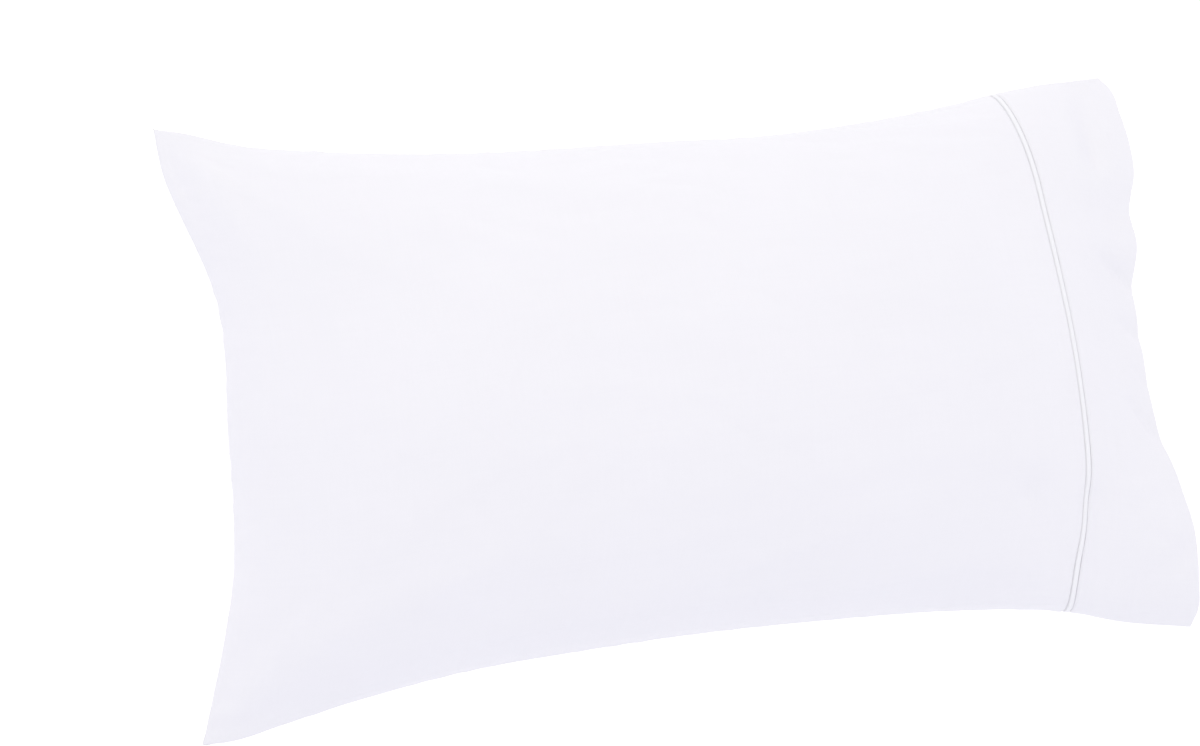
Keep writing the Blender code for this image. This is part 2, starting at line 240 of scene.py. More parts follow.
# Cross-section of the cloth beside a seam: soft rolls at a distance from it, and dips where the height is
# negative
Roll = namedtuple("Roll", "distance height width")
TURNED_SEAM = (Roll(0.0, -0.0007, 0.0008), Roll(0.0032, 0.00035, 0.0020), Roll(0.0105, -0.00012, 0.0016))
BODY_AT_STRIP = (Roll(0.0045, 0.0003, 0.0030), Roll(0.0, -0.0005, 0.00045))
CUFF_AT_STRIP = (Roll(0.0034, 0.0003, 0.0020), Roll(0.0, -0.0003, 0.00045),
                 Roll(STITCH_LINE - SEAM_LINE, -0.0004, 0.0006))

# Lines of shade on the seams: half widths, strengths on the cuff, and the share of the colour that they take
SEAM_SHADE = 0.0012
STRIP_SHADE = 0.0006
STRIP_EDGE_SHADE = 0.0004
CUFF_SIDE_STRENGTH, STITCH_STRENGTH = 0.5, 0.35
SHADE_DEPTH = 0.05

# ---------------------------------------------------------------- looks of the cloth, light and floor
WEAVE_PITCH, STRIP_WEAVE_PITCH = 0.00042, 0.00034
SLUB_LONG, SLUB_FINE = 14, 620          # cycles in a metre, along a thread and across it
DRIFT_CYCLES, SOFT_CYCLES = 9, 42
WEAVE_DEPTH, SLUB_DEPTH, SOFT_DEPTH = 0.00006, 0.00005, 0.00030
TWIST_CYCLES, TWIST_DEPTH = 2600, 0.0001

SKY_COLOUR, SKY_STRENGTH = (0.923, 0.925, 1.0, 1), 1.053
FLOOR_HALF_SIDE, FLOOR_LEVEL = 60.0, -0.0004
FLOOR_COLOUR = (0.62, 0.62, 0.62, 1)
FLOOR_GLOW_COLOUR, FLOOR_GLOW = (1.0, 0.986, 0.96, 1), 0.575
KEY_PLACE, KEY_AIM = Vector((-0.10, 0.90, 2.20)), Vector((0, 0, 0.08))
KEY_WIDTH, KEY_DEPTH = 2.4, 1.6
KEY_COLOUR, KEY_WATTS = (1.0, 0.947, 0.604), 10.35


# ---------------------------------------------------------------- the shape of the case, as in the CAD source
def column(rows, place, value, at):
    """Read a column of a table at any place, as a smooth curve through its rows."""
    knots = np.array([getattr(row, place) for row in rows])
    values = np.array([getattr(row, value) for row in rows])
    slopes = np.gradient(values, knots)
    at = np.clip(at, knots[0], knots[-1])
    left = np.clip(np.searchsorted(knots, at, side="right") - 1, 0, len(knots) - 2)
    span = knots[left + 1] - knots[left]
    t = (at - knots[left]) / span
    return ((1 + 2 * t) * (1 - t) ** 2 * values[left] + t ** 2 * (3 - 2 * t) * values[left + 1]
            + span * t * (1 - t) * ((1 - t) * slopes[left] - t * slopes[left + 1]))


def smooth_step(t):
    """Run from 0 to 1 with no slope at either end."""
    t = np.clip(t, 0, 1)
    return t * t * (3 - 2 * t)


def bell(distance, width):
    """1 in the middle of a crease and next to nothing at twice its width."""
    return np.exp(-(distance / width) ** 2)


def seam_height(x, side):
    """Height of the plane between the two layers: lowest at the ears, higher halfway along each side."""
    share = x / SECTIONS[-1].along
    along = 4 * share * (1 - share)
    end = side * (1 - smooth_step(x / END_LIFT_REACH))
    return EAR_HEIGHT + SEAM_RISE * (1 - (1 - np.clip(along, 0, 1)) * (1 - end))


def lie_on_floor(z):
    """Flatten what would reach below the surface, with a rounded turn at the edge of the flat patch."""
    turn = (np.clip(z, -FLOOR_ROUNDING, FLOOR_ROUNDING) + FLOOR_ROUNDING) ** 2 / (4 * FLOOR_ROUNDING)
    return np.where(z > FLOOR_ROUNDING, z, turn)


def body_heights(x, across):
    """Heights of the front and back layers of the filled body."""
    side = 4 * across * (1 - across)
    reach = (x - column(CROSSINGS, "across", "closed_end", across)) / END_ROUNDING
    end = 1 - (1 - np.clip(reach, 0, 1)) ** 2
    power = EDGE_POWER + EAR_POWER * (1 - side) * (1 - end)
    fullness = (side * end) ** power
    middle = seam_height(x, side)
    front = middle + column(SECTIONS, "along", "crown", x) * fullness
    back = lie_on_floor(middle - column(SECTIONS, "along", "underside", x) * fullness)
    return front, back


def fold_relief(x, y):
    """Share of its thickness that the case keeps at a place, less than 1 in a fold's trough."""
    kept = np.ones_like(x)
    for fold in FOLDS:
        run = np.array([fold.end_x - fold.start_x, fold.end_y - fold.start_y])
        length = np.linalg.norm(run)
        way = run / length
        along = np.clip((x - fold.start_x) * way[0] + (y - fold.start_y) * way[1], 0, length)
        away = np.hypot(x - fold.start_x - along * way[0], y - fold.start_y - along * way[1])
        depth = fold.start_depth + (fold.end_depth - fold.start_depth) * along / length
        kept -= depth * bell(away, fold.width)
    return kept


def place(layer, x, front, back, across, side_inset=0.0, fullness=1.0):
    """Points of one layer, from its plan and the heights of both layers."""
    lower = column(SECTIONS, "along", "lower_side", x) + side_inset
    upper = column(SECTIONS, "along", "upper_side", x) - side_inset
    y = lower + across * (upper - lower)
    middle = (front + back) / 2
    z = middle + layer * (front - back) / 2 * fold_relief(x, y) * fullness
    return np.stack([x, y, z], axis=-1)


def body_points(layer, share, across):
    """The body: share 0 on its closed end and share 1 on the seam of the cuff."""
    closed_end = column(CROSSINGS, "across", "closed_end", across)
    x = closed_end + share * (column(CROSSINGS, "across", "cuff_seam", across) - closed_end)
    return place(layer, x, *body_heights(x, across), across)


def hem_points(layer, share, across, side_inset=0.0, fullness=1.0):
    """The hem: share 0 on the seam of the cuff and share 1 on the open edge."""
    seam = column(CROSSINGS, "across", "cuff_seam", across)
    edge = column(CROSSINGS, "across", "front_edge" if layer == FRONT else "back_edge", across)
    front_start, back_start = body_heights(seam, across)
    front_end = EAR_HEIGHT + column(CROSSINGS, "across", "front_lift", across)
    back_end = EAR_HEIGHT - column(CROSSINGS, "across", "back_drop", across)
    fall = (share + smooth_step(share)) / 2
    return place(layer, seam + share * (edge - seam), front_start + fall * (front_end - front_start),
                 back_start + fall * (back_end - back_start), across, side_inset, fullness)


# ---------------------------------------------------------------- grids of cloth
def spread(steps, start, end, reach=0.25):
    """Shares from 0 to 1 whose spacing at each end is a part of the spacing in the middle."""
    t = (np.arange(steps) + 0.5) / steps
    spacing = 1 - (1 - start) * (1 - smooth_step(t / reach)) - (1 - end) * (1 - smooth_step((1 - t) / reach))
    return np.concatenate(([0], np.cumsum(spacing))) / spacing.sum()


def length_along(points, axis):
    """Length of cloth from the first point of each line of a grid."""
    steps = np.linalg.norm(np.diff(points, axis=axis), axis=-1)
    return np.concatenate((np.zeros_like(steps.take([0], axis=axis)), np.cumsum(steps, axis=axis)), axis=axis)


def layer_grid(points_of, layer, shares, across):
    """A layer's rows at those shares, each with its points at those shares of its own length of cloth."""
    dense = (1 - np.cos(np.linspace(0, np.pi, MEASURED_ACROSS))) / 2
    rows = []
    for share in shares:
        length = length_along(points_of(layer, share, dense), 0)
        rows.append(points_of(layer, share, np.interp(across * length[-1], length, dense)))
    return np.array(rows)


# The shares of each layer's length of cloth on which its columns lie
ACROSS = spread(SIDE_STEPS, SIDE_SPACING, SIDE_SPACING, reach=0.2)


def rows_at(grid, lengths):
    """Rows of a grid at those lengths of cloth from its first row, each a number or one for every column."""
    run = length_along(grid, 0)
    columns = np.arange(run.shape[1])
    rows = []
    for length in lengths:
        length = np.broadcast_to(length, columns.shape)
        at = np.array([np.interp(length[k], run[:, k], np.arange(len(run))) for k in columns])
        low = np.clip(np.floor(at).astype(int), 0, len(run) - 2)
        part = (at - low)[:, None]
        rows.append(grid[low, columns] * (1 - part) + grid[low + 1, columns] * part)
    return np.array(rows)


def hem_rows(layer, lengths, across):
    """Rows at real lengths of cloth past the seam, so that the strip is as wide all round."""
    return rows_at(layer_grid(hem_points, layer, np.linspace(0, 1, MEASURED_HEM + 1), across), lengths)


def from_sides(grid):
    """Lengths of cloth from the lower and from the upper side seam."""
    from_lower = length_along(grid, 1)
    return from_lower, from_lower[:, -1:] - from_lower


def outward(front, back):
    """Unit normals of both layers, which share one at the seams where the layers meet."""
    pair = []
    for layer, grid in ((FRONT, front), (BACK, back)):
        normal = layer * np.cross(np.gradient(grid, axis=0), np.gradient(grid, axis=1))
        pair.append(normal / np.maximum(np.linalg.norm(normal, axis=-1, keepdims=True), 1e-12))
    for column_index in (0, -1):
        shared = pair[0][:, column_index] + pair[1][:, column_index]
        shared /= np.maximum(np.linalg.norm(shared, axis=-1, keepdims=True), 1e-12)
        pair[0][:, column_index] = pair[1][:, column_index] = shared
    return pair


def agree(pair, end_row=False):
    """Give both layers the same value where they meet: along both side seams, and on the closed end."""
    for k in (0, -1):
        pair[0][:, k] = pair[1][:, k] = (pair[0][:, k] + pair[1][:, k]) / 2
    if end_row:
        pair[0][0] = pair[1][0] = (pair[0][0] + pair[1][0]) / 2
    return pair


def ripple(place_along, length, seed):
    """An uneven wave, with crests at about that spacing."""
    chance = np.random.RandomState(seed)
    wave = np.zeros_like(place_along)
    for stretch, weight in ((0.71, 0.6), (1.0, 1.0), (1.37, 0.8), (2.3, 0.5)):
        phase, drift = chance.uniform(0, 2 * np.pi, 2)
        bend = 0.8 * np.sin(place_along / (6.1 * length) * 2 * np.pi / stretch + drift)
        wave += weight * np.sin(place_along * 2 * np.pi / (length * stretch) + phase + bend)
    swell = 0.55 + 0.45 * np.sin(place_along / (7.3 * length) * 2 * np.pi + chance.uniform(0, 2 * np.pi))
    return wave * swell / 1.6


def crease_relief(layer, x, y):
    """Height of the drawn creases of a layer."""
    relief = np.zeros_like(x)
    t = np.linspace(0, 1, CREASE_POINTS)
    for crease in CREASES:
        if crease.layer != layer:
            continue
        near = [(1 - t) ** 2 * a + 2 * t * (1 - t) * b + t * t * c for a, b, c in (
            (crease.start_x, crease.bend_x, crease.end_x), (crease.start_y, crease.bend_y, crease.end_y))]
        # full strength in the middle of the curve, fading towards both ends
        strength = np.sin(np.pi * np.clip(t * 0.9 + 0.08, 0, 1)) ** 0.6
        best = np.full_like(x, 1e9)
        height = np.zeros_like(x)
        for i in range(len(t) - 1):
            run = np.array([near[0][i + 1] - near[0][i], near[1][i + 1] - near[1][i]])
            length = np.linalg.norm(run)
            along = ((x - near[0][i]) * run[0] + (y - near[1][i]) * run[1]) / length ** 2
            held = np.clip(along, 0, 1)
            away = np.hypot(x - near[0][i] - held * run[0], y - near[1][i] - held * run[1])
            closer = away < best
            best = np.where(closer, away, best)
            height = np.where(closer, strength[i] + held * (strength[i + 1] - strength[i]), height)
        relief += crease.height * height * bell(best, crease.width)
    return relief


def gathered_relief(order, *seams):
    """Height of some seams' ripples. Each is given as its gather, the distance from the seam, a place along it
    and a seed."""
    relief = 0
    for gather, distance, along, seed in seams:
        grown = bell(distance, gather.reach) * (1 - SEWN_FLAT_SHARE * bell(distance, SEWN_FLAT))
        relief = relief + gather.height * ripple(along, gather.length, seed + 100 * order) * grown
    return relief


def section_relief(section, distance):
    """Height of a seam's cross-section at a distance from it."""
    return sum(roll.height * bell(distance - roll.distance, roll.width) for roll in section)


# ---------------------------------------------------------------- meshes
def grid_faces(front, back):
    """Faces of both layers, facing outward, from the numbers of their points."""
    front, back = (np.stack((part[:-1, :-1], part[1:, :-1], part[1:, 1:], part[:-1, 1:]), axis=-1)
                   for part in (front, back))
    return np.concatenate((front.reshape(-1, 4), back.reshape(-1, 4)[:, ::-1]))


def lengths_map(grid, order, start=0.0):
    """UV of a grid: length of cloth past the body's edge, where it starts, and past the lower side seam."""
    return np.stack([start + length_along(grid, 0), length_along(grid, 1) + BACK_UV_SHIFT * order], axis=-1)


def skin(name, layers, maps, shades, material):
    """A piece of a front and a back grid that meet along both side seams, with lengths of cloth as its UV."""
    rows, columns = layers[0].shape[:2]
    points = np.concatenate([grid.reshape(-1, 3) for grid in layers]) + ORIGIN
    lengths = np.concatenate([uv.reshape(-1, 2) for uv in maps])
    index = np.arange(rows * columns).reshape(rows, columns)
    faces = grid_faces(index, index + rows * columns)
    mesh = bpy.data.meshes.new(name)
    mesh.from_pydata(points.tolist(), [], faces.tolist())
    uv_layer = mesh.uv_layers.new(name="cloth_lengths")
    uv_layer.data.foreach_set("uv", lengths[faces.ravel()].astype(np.float32).ravel())
    # Painted shade along the seams, which the material takes from the cloth's colour
    attribute = mesh.attributes.new("seam_shade", "FLOAT", "POINT")
    attribute.data.foreach_set("value", np.concatenate([shade.ravel() for shade in shades]).astype(np.float32))
    return finish_mesh(name, mesh, material)


def finish_mesh(name, mesh, material, weld=1e-6):
    """Join the points that coincide, face the skin outward and make it a smooth piece."""
    bm = bmesh.new()
    bm.from_mesh(mesh)
    bmesh.ops.remove_doubles(bm, verts=bm.verts, dist=weld)
    bmesh.ops.recalc_face_normals(bm, faces=bm.faces)
    bm.to_mesh(mesh)
    bm.free()
    mesh.shade_smooth()
    mesh.materials.append(material)
    piece = bpy.data.objects.new(name, mesh)
    bpy.context.scene.collection.objects.link(piece)
    return piece


# ---------------------------------------------------------------- cloth simulation of the body's fullness
def blur(field, passes):
    """Smooth a grid, with its rim held."""
    for _ in range(passes):
        field[1:-1] = (field[:-2] + 2 * field[1:-1] + field[2:]) / 4
        field[:, 1:-1] = (field[:, :-2] + 2 * field[:, 1:-1] + field[:, 2:]) / 4
    return field


def cubic_weights(at, count):
    """Weights that read a row of numbers at fractional places, as a smooth curve through them."""
    weights = np.zeros((len(at), count))
    base = np.clip(np.floor(at).astype(int), 0, count - 2)
    t = at - base
    for step, value in ((-1, (-t + 2 * t ** 2 - t ** 3) / 2), (0, (2 - 5 * t ** 2 + 3 * t ** 3) / 2),
                        (1, (t + 4 * t ** 2 - 3 * t ** 3) / 2), (2, (t ** 3 - t ** 2) / 2)):
        np.add.at(weights, (np.arange(len(at)), np.clip(base + step, 0, count - 1)), value)
    return weights


def simulate(body_shares, across):
    """Let the body's cloth fill under pressure between its seams, and return how each layer's points move.

    The tables already hold the fullness, so only what is finer than the swelling is kept."""
    sim_shares, sim_across = spread(SIM_ROWS, 0.8, 1.0), spread(SIM_ACROSS, 1.0, 1.0)
    grids = [layer_grid(body_points, layer, sim_shares, sim_across) for layer in (FRONT, BACK)]
    rows, columns = grids[0].shape[:2]
    index = np.arange(rows * columns).reshape(rows, columns)
    other = index + rows * columns
    other[:, 0], other[:, -1], other[0] = index[:, 0], index[:, -1], index[0]
    faces = grid_faces(index, other)[:, ::-1]
    mesh = bpy.data.meshes.new("cloth_trial")
    start = np.concatenate([grid.reshape(-1, 3) for grid in grids])
    mesh.from_pydata(start.tolist(), [], faces.tolist())
    trial = bpy.data.objects.new("cloth_trial", mesh)
    bpy.context.scene.collection.objects.link(trial)
    held = trial.vertex_groups.new(name="held")
    for part, grid in ((index, grids[0]), (other, grids[1])):
        rim = np.zeros((rows, columns), bool)
        rim[:, [0, -1]] = rim[[0, -1, -2]] = True
        rim |= grid[..., 2] < SIM_ON_FLOOR
        held.add(np.unique(part[rim]).tolist(), 1.0, "REPLACE")
    unused = np.setdiff1d(np.arange(len(start)), faces)
    held.add(unused.tolist(), 1.0, "REPLACE")
    cloth = trial.modifiers.new("Cloth", "CLOTH")
    settings = cloth.settings
    settings.quality = 5
    settings.mass = 0.15
    settings.tension_stiffness = settings.compression_stiffness = 15
    settings.shear_stiffness = 5
    settings.bending_stiffness = 0.25
    settings.tension_damping = settings.compression_damping = settings.shear_damping = 8
    settings.use_pressure = True
    settings.uniform_pressure_force = SIM_PRESSURE
    settings.shrink_min = -SIM_GROWTH
    settings.vertex_group_mass = "held"
    settings.effector_weights.gravity = 0
    cloth.collision_settings.use_collision = False
    cloth.point_cache.frame_end = SIM_FRAMES
    for step in range(1, SIM_FRAMES + 1):
        bpy.context.scene.frame_set(step)
    settled = trial.evaluated_get(bpy.context.evaluated_depsgraph_get()).to_mesh()
    moved = np.zeros(len(start) * 3, np.float32)
    settled.vertices.foreach_get("co", moved)
    moved = moved.reshape(-1, 3) - start
    bpy.data.objects.remove(trial)
    bpy.context.scene.frame_set(1)
    to_rows = cubic_weights(np.interp(body_shares, sim_shares, np.arange(rows)), rows)
    to_columns = cubic_weights(np.interp(across, sim_across, np.arange(columns)), columns)
    result = []
    for part in (index, other):
        shift = moved[part]
        shift = shift - blur(shift.copy(), SIM_SMOOTHING)
        size = np.linalg.norm(shift, axis=-1, keepdims=True)
        shift *= SIM_CAP * np.tanh(size / SIM_CAP) / np.maximum(size, 1e-9)
        result.append(np.einsum("ij,jkc,lk->ilc", to_rows, shift, to_columns))
    return result


# ---------------------------------------------------------------- materials
class Looks:
    """A new material, with short ways to add nodes to it and join them."""

    def __init__(self, name):
        self.material = bpy.data.materials.new(name)
        self.material.use_nodes = True
        self.tree = self.material.node_tree
        self.shader = self.tree.nodes["Principled BSDF"]

    def give(self, socket, value):
        """Join a socket to another node's output, or set it to a number or a colour."""
        if isinstance(value, bpy.types.NodeSocket):
            self.tree.links.new(value, socket)
        else:
            socket.default_value = value

    def add(self, kind, inputs, output=0, **settings):
        """Add a node with those inputs and settings, and return one of its outputs."""
        made = self.tree.nodes.new(kind)
        for key, value in settings.items():
            setattr(made, key, value)
        for key, value in inputs.items():
            self.give(made.inputs[key], value)
        return made.outputs[output]

    def maths(self, operation, *values, clamp=False):
        return self.add("ShaderNodeMath", dict(enumerate(values)), operation=operation, use_clamp=clamp)

    def map_range(self, value, start, end, to_start, to_end):
        return self.add("ShaderNodeMapRange", {"Value": value, "From Min": start, "From Max": end,
                                               "To Min": to_start, "To Max": to_end})

    def finish(self, colour, tone, roughness, height, bump_strength, bump_distance, **others):
        """Give the shader a colour of that tone, its roughness and its bump, and return the material."""
        tint = self.add("ShaderNodeVectorMath", {0: colour, "Scale": tone}, operation="SCALE")
        bump = self.add("ShaderNodeBump", {"Strength": bump_strength, "Distance": bump_distance,
                                           "Height": height})
        sockets = {"Base Color": tint, "Roughness": roughness, "Normal": bump}
        for key, value in {**sockets, **others}.items():
            self.give(self.shader.inputs[key.replace("_", " ")], value)
        return self.material


def woven_cloth(name, colour, pitch, roughness):
    """White cloth: its plain weave, slubs along both threads, a faint unevenness, set out on the cloth, and
    painted shade along its seams.
    """
    looks = Looks(name)
    add, maths = looks.add, looks.maths
    lengths = add("ShaderNodeUVMap", {}, uv_map="cloth_lengths")

    def noise(cycles_along, cycles_across, detail):
        stretched = add("ShaderNodeMapping", {"Vector": lengths, "Scale": (cycles_along, cycles_across, 1)})
        return add("ShaderNodeTexNoise", {"Vector": stretched, "Scale": 1.0, "Detail": detail}, "Fac",
                   noise_dimensions="2D")

    along, across, _ = add("ShaderNodeSeparateXYZ", {0: lengths}).node.outputs
    warp = maths("SINE", maths("MULTIPLY", across, np.pi / pitch))
    weft = maths("SINE", maths("MULTIPLY", along, np.pi / pitch))
    # 1 where the weft lies over the warp and 0 where it lies under it
    over = maths("MULTIPLY_ADD", maths("MULTIPLY", warp, weft), 4.0, 0.5, clamp=True)
    weave = add("ShaderNodeMix", {"Factor": over, 2: maths("ABSOLUTE", warp), 3: maths("ABSOLUTE", weft)})
    slubs = maths("ADD", noise(SLUB_LONG, SLUB_FINE, 2.0), noise(SLUB_FINE, SLUB_LONG, 2.0))
    drift = noise(DRIFT_CYCLES, DRIFT_CYCLES, 2.0)
    soft = noise(SOFT_CYCLES, SOFT_CYCLES, 1.5)

    slub_tone = looks.map_range(slubs, 0.6, 1.4, 0.995, 1.004)
    weave_tone = maths("MULTIPLY_ADD", weave, 0.014, 0.990)
    drift_tone = maths("MULTIPLY_ADD", drift, 0.016, 0.992)
    # Painted shade: the seam_shade mask darkens the colour along the seams and beside the strip, where shade
    # falls
    seams = add("ShaderNodeAttribute", {}, "Fac", attribute_name="seam_shade")
    painted_seam_shade_tone = maths("SUBTRACT", 1.0, maths("MULTIPLY", seams, SHADE_DEPTH))
    tone = maths("MULTIPLY", maths("MULTIPLY", slub_tone, weave_tone), maths("MULTIPLY", drift_tone, painted_seam_shade_tone))
    rough = maths("MULTIPLY_ADD", slubs, 0.10, roughness - 0.10, clamp=True)
    height = maths("ADD", maths("MULTIPLY", weave, WEAVE_DEPTH), maths("MULTIPLY", slubs, SLUB_DEPTH))
    height = maths("ADD", height, maths("MULTIPLY", soft, SOFT_DEPTH))
    return looks.finish(colour, tone, rough, height, bump_strength=0.8, bump_distance=1.0,
                        Specular_IOR_Level=0.25, Sheen_Weight=0.12, Sheen_Roughness=0.5)


def thread(name, colour):
    """Spun sewing thread: a fine twist along each stitch."""
    looks = Looks(name)
    place_in = looks.add("ShaderNodeTexCoord", {}, "Object")
    twist = looks.add("ShaderNodeTexNoise", {"Vector": place_in, "Scale": TWIST_CYCLES}, "Fac")
    tone = looks.map_range(twist, 0.3, 0.7, 0.94, 1.02)
    return looks.finish(colour, tone, 0.6, twist, bump_strength=0.5, bump_distance=TWIST_DEPTH)


# ---------------------------------------------------------------- pieces
def case_body(material):
    """The filled body with its seams, ears, creases and ripples, and the pillow's covered end in the cuff."""
    shares = spread(BODY_ROWS, start=0.10, end=0.9, reach=0.3)
    last = 1 - np.array(LAST_BODY_ROWS) / BODY_LENGTH
    shares = np.concatenate((shares[shares < last[0] - ROOM_BEFORE_LAST_ROWS], last))
    grids = [layer_grid(body_points, layer, shares, ACROSS) for layer in (FRONT, BACK)]
    for layer, grid, shift in zip((FRONT, BACK), grids, simulate(shares, ACROSS)):
        nearest = np.minimum.reduce([length_along(grid, 0), *from_sides(grid)])
        kept = SIM_FACE_SHARE + (SIM_SEAM_SHARE[layer] - SIM_FACE_SHARE) * bell(nearest, SIM_SEAM_REACH)
        grid += shift * kept[..., None]
        grid[..., 2] = np.maximum(grid[..., 2], 0)
    normals = outward(*grids)
    # The layers share a normal along the closed end too
    end_normal = normals[0][0] + normals[1][0]
    end_normal /= np.maximum(np.linalg.norm(end_normal, axis=-1, keepdims=True), 1e-9)
    normals[0][0] = normals[1][0] = end_normal
    maps, shades, reliefs = [], [], []
    for order, (layer, grid) in enumerate(zip((FRONT, BACK), grids)):
        x, y, z = np.moveaxis(grid, -1, 0)
        from_end = length_along(grid, 0)
        to_strip = from_end[-1:] - from_end
        from_lower, from_upper = from_sides(grid)
        relief = crease_relief(layer, x, y)
        relief += sum(section_relief(TURNED_SEAM, distance) for distance in (from_lower, from_upper, from_end))
        relief += gathered_relief(order, (SIDE_GATHER, from_lower, x, 11), (SIDE_GATHER, from_upper, x, 23),
                                  (END_GATHER, from_end, y, 37), (STRIP_GATHER, to_strip, y, 51))
        relief += section_relief(BODY_AT_STRIP, to_strip)
        if layer == BACK:
            relief *= smooth_step((z - PRESSED_HEIGHT) / PRESSED_FADE)
        reliefs.append(relief)
        maps.append(lengths_map(grid, order, -from_end[-1:]))
        # Painted shade along the side seams, the closed end and the strip, kept for the material's seam_shade
        # mask
        shades.append(np.maximum.reduce([bell(from_lower, SEAM_SHADE), bell(from_upper, SEAM_SHADE),
                                         bell(from_end, SEAM_SHADE), bell(to_strip, STRIP_SHADE)]))
    layers = [grid + normal * relief[..., None]
              for grid, normal, relief in zip(grids, normals, agree(reliefs, end_row=True))]
    for order, layer in enumerate((FRONT, BACK)):
        rows = covered_end(order, layer)
        layers[order] = np.concatenate((layers[order], rows))
        maps[order] = np.concatenate((maps[order], lengths_map(rows, order, COVERED_UV_START)))
        shades[order] = np.concatenate((shades[order], np.zeros(rows.shape[:2])))
    return skin("filled_case", layers, maps, shades, material)


def covered_end(order, layer):
    """One layer of the pillow's end inside the cuff: it starts under the strip, clear of the cuff's cloth, and
    turns in towards the other layer in a rounded, gathered nose, meeting it only at the side seams."""
    turns = np.linspace(0, np.pi / 2, INNER_ROWS + 1)
    side = 4 * ACROSS * (1 - ACROSS)
    rows = []
    for turn in turns:
        inset = CAD_WALL + GAP + INNER_END_TAPER * np.sin(turn) ** 2
        drawn_in = partial(hem_points, side_inset=inset, fullness=np.cos(turn))
        rows.append(layer_grid(drawn_in, layer, [np.sin(turn) * INNER_END_SHARE], ACROSS)[0])
    rows = np.array(rows)
    gathered = INNER_RIPPLE_HEIGHT * np.abs(ripple(rows[..., 1], INNER_RIPPLE_LENGTH, 71 + 13 * order)) * side
    gathered *= smooth_step(1.4 * turns / turns[-1])[:, None]
    under = (CAD_WALL + GAP) * np.cos(turns)[:, None] + gathered
    # Drawn in less beside the side seams, where the two layers meet
    rows[..., 2] -= layer * under * np.minimum(1, 2 * side + 0.15)
    return rows


def hem_strip(material):
    """The narrow strip sewn in between the body and the cuff, with a flange of it under each."""
    width = STRIP_TO - STRIP_FROM
    rings = np.array(STRIP_RINGS)
    lengths = np.concatenate(([STRIP_MARGIN, STRIP_FROM - STRIP_DROP], STRIP_FROM + width * rings,
                              [STRIP_TO + STRIP_DROP, SEAM_LINE - STRIP_MARGIN]))
    crown = STRIP_RISE * (1 - (2 * rings - 1) ** 4) - STRIP_SINK
    height = np.concatenate((STRIP_FLANGES[0], crown, STRIP_FLANGES[1]))
    wave_across = STRIP_WAVE_HEIGHT * np.sin(np.pi * np.clip((lengths - STRIP_FROM) / width, 0, 1))[:, None]
    # Painted shade along both edges of the strip's crown and over the whole of its underside
    edge = bell(lengths - STRIP_FROM, STRIP_EDGE_SHADE) + bell(lengths - STRIP_TO, STRIP_EDGE_SHADE)
    edge = np.clip(np.concatenate((edge, np.ones(len(lengths) + 1))), 0, 1)
    grids = [hem_rows(layer, lengths, ACROSS) for layer in (FRONT, BACK)]
    waves = agree([wave_across * ripple(grid[..., 1], STRIP_WAVE_LENGTH, 83 + order)
                   for order, grid in enumerate(grids)])
    layers = []
    for grid, normal, wave in zip(grids, outward(*grids), waves):
        top = grid + normal * (height[:, None] + wave)[..., None]
        layers.append(np.concatenate((top, (grid - normal * STRIP_UNDERSIDE)[::-1], top[:1])))
    maps = [lengths_map(grid, order) for order, grid in enumerate(layers)]
    shades = [np.repeat(edge[:, None], len(ACROSS), axis=1)] * 2
    return skin("seam_strip", layers, maps, shades, material)


